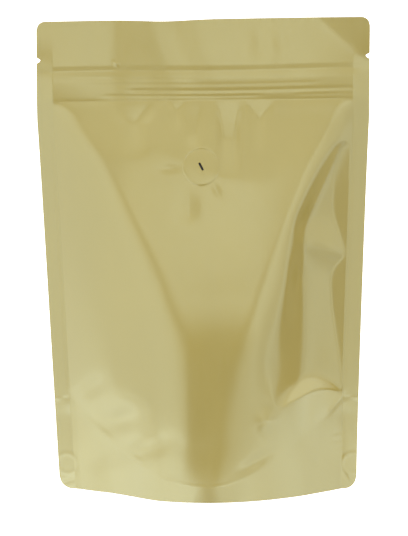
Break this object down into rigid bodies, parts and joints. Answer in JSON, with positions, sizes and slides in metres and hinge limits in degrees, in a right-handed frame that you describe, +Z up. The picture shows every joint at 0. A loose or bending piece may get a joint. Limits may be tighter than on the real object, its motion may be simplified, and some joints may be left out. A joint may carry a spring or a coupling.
{
  "type": "coffee bag with valve",
  "caption": "Shut stand-up pouch of satin gold film, filled with coffee, with a zip, tear notches, a bottom gusset and a round one-way valve.",
  "frame": {"origin": "under the middle of the bag's box, on the surface that it stands on", "axes": "+Z up the standing bag, +X to the right as the front is seen, -Y out of the front panel that carries the valve"},
  "size_m": [0.165, 0.0572, 0.2411],
  "materials": {
    "film": "satin gold lacquer on laminated foil",
    "valve_film": "satin gold lacquer on laminated foil, pressed over the valve"
  },
  "bodies": {
    "root": {"pouch": "film", "valve": "valve_film"}
  },
  "joints": []
}
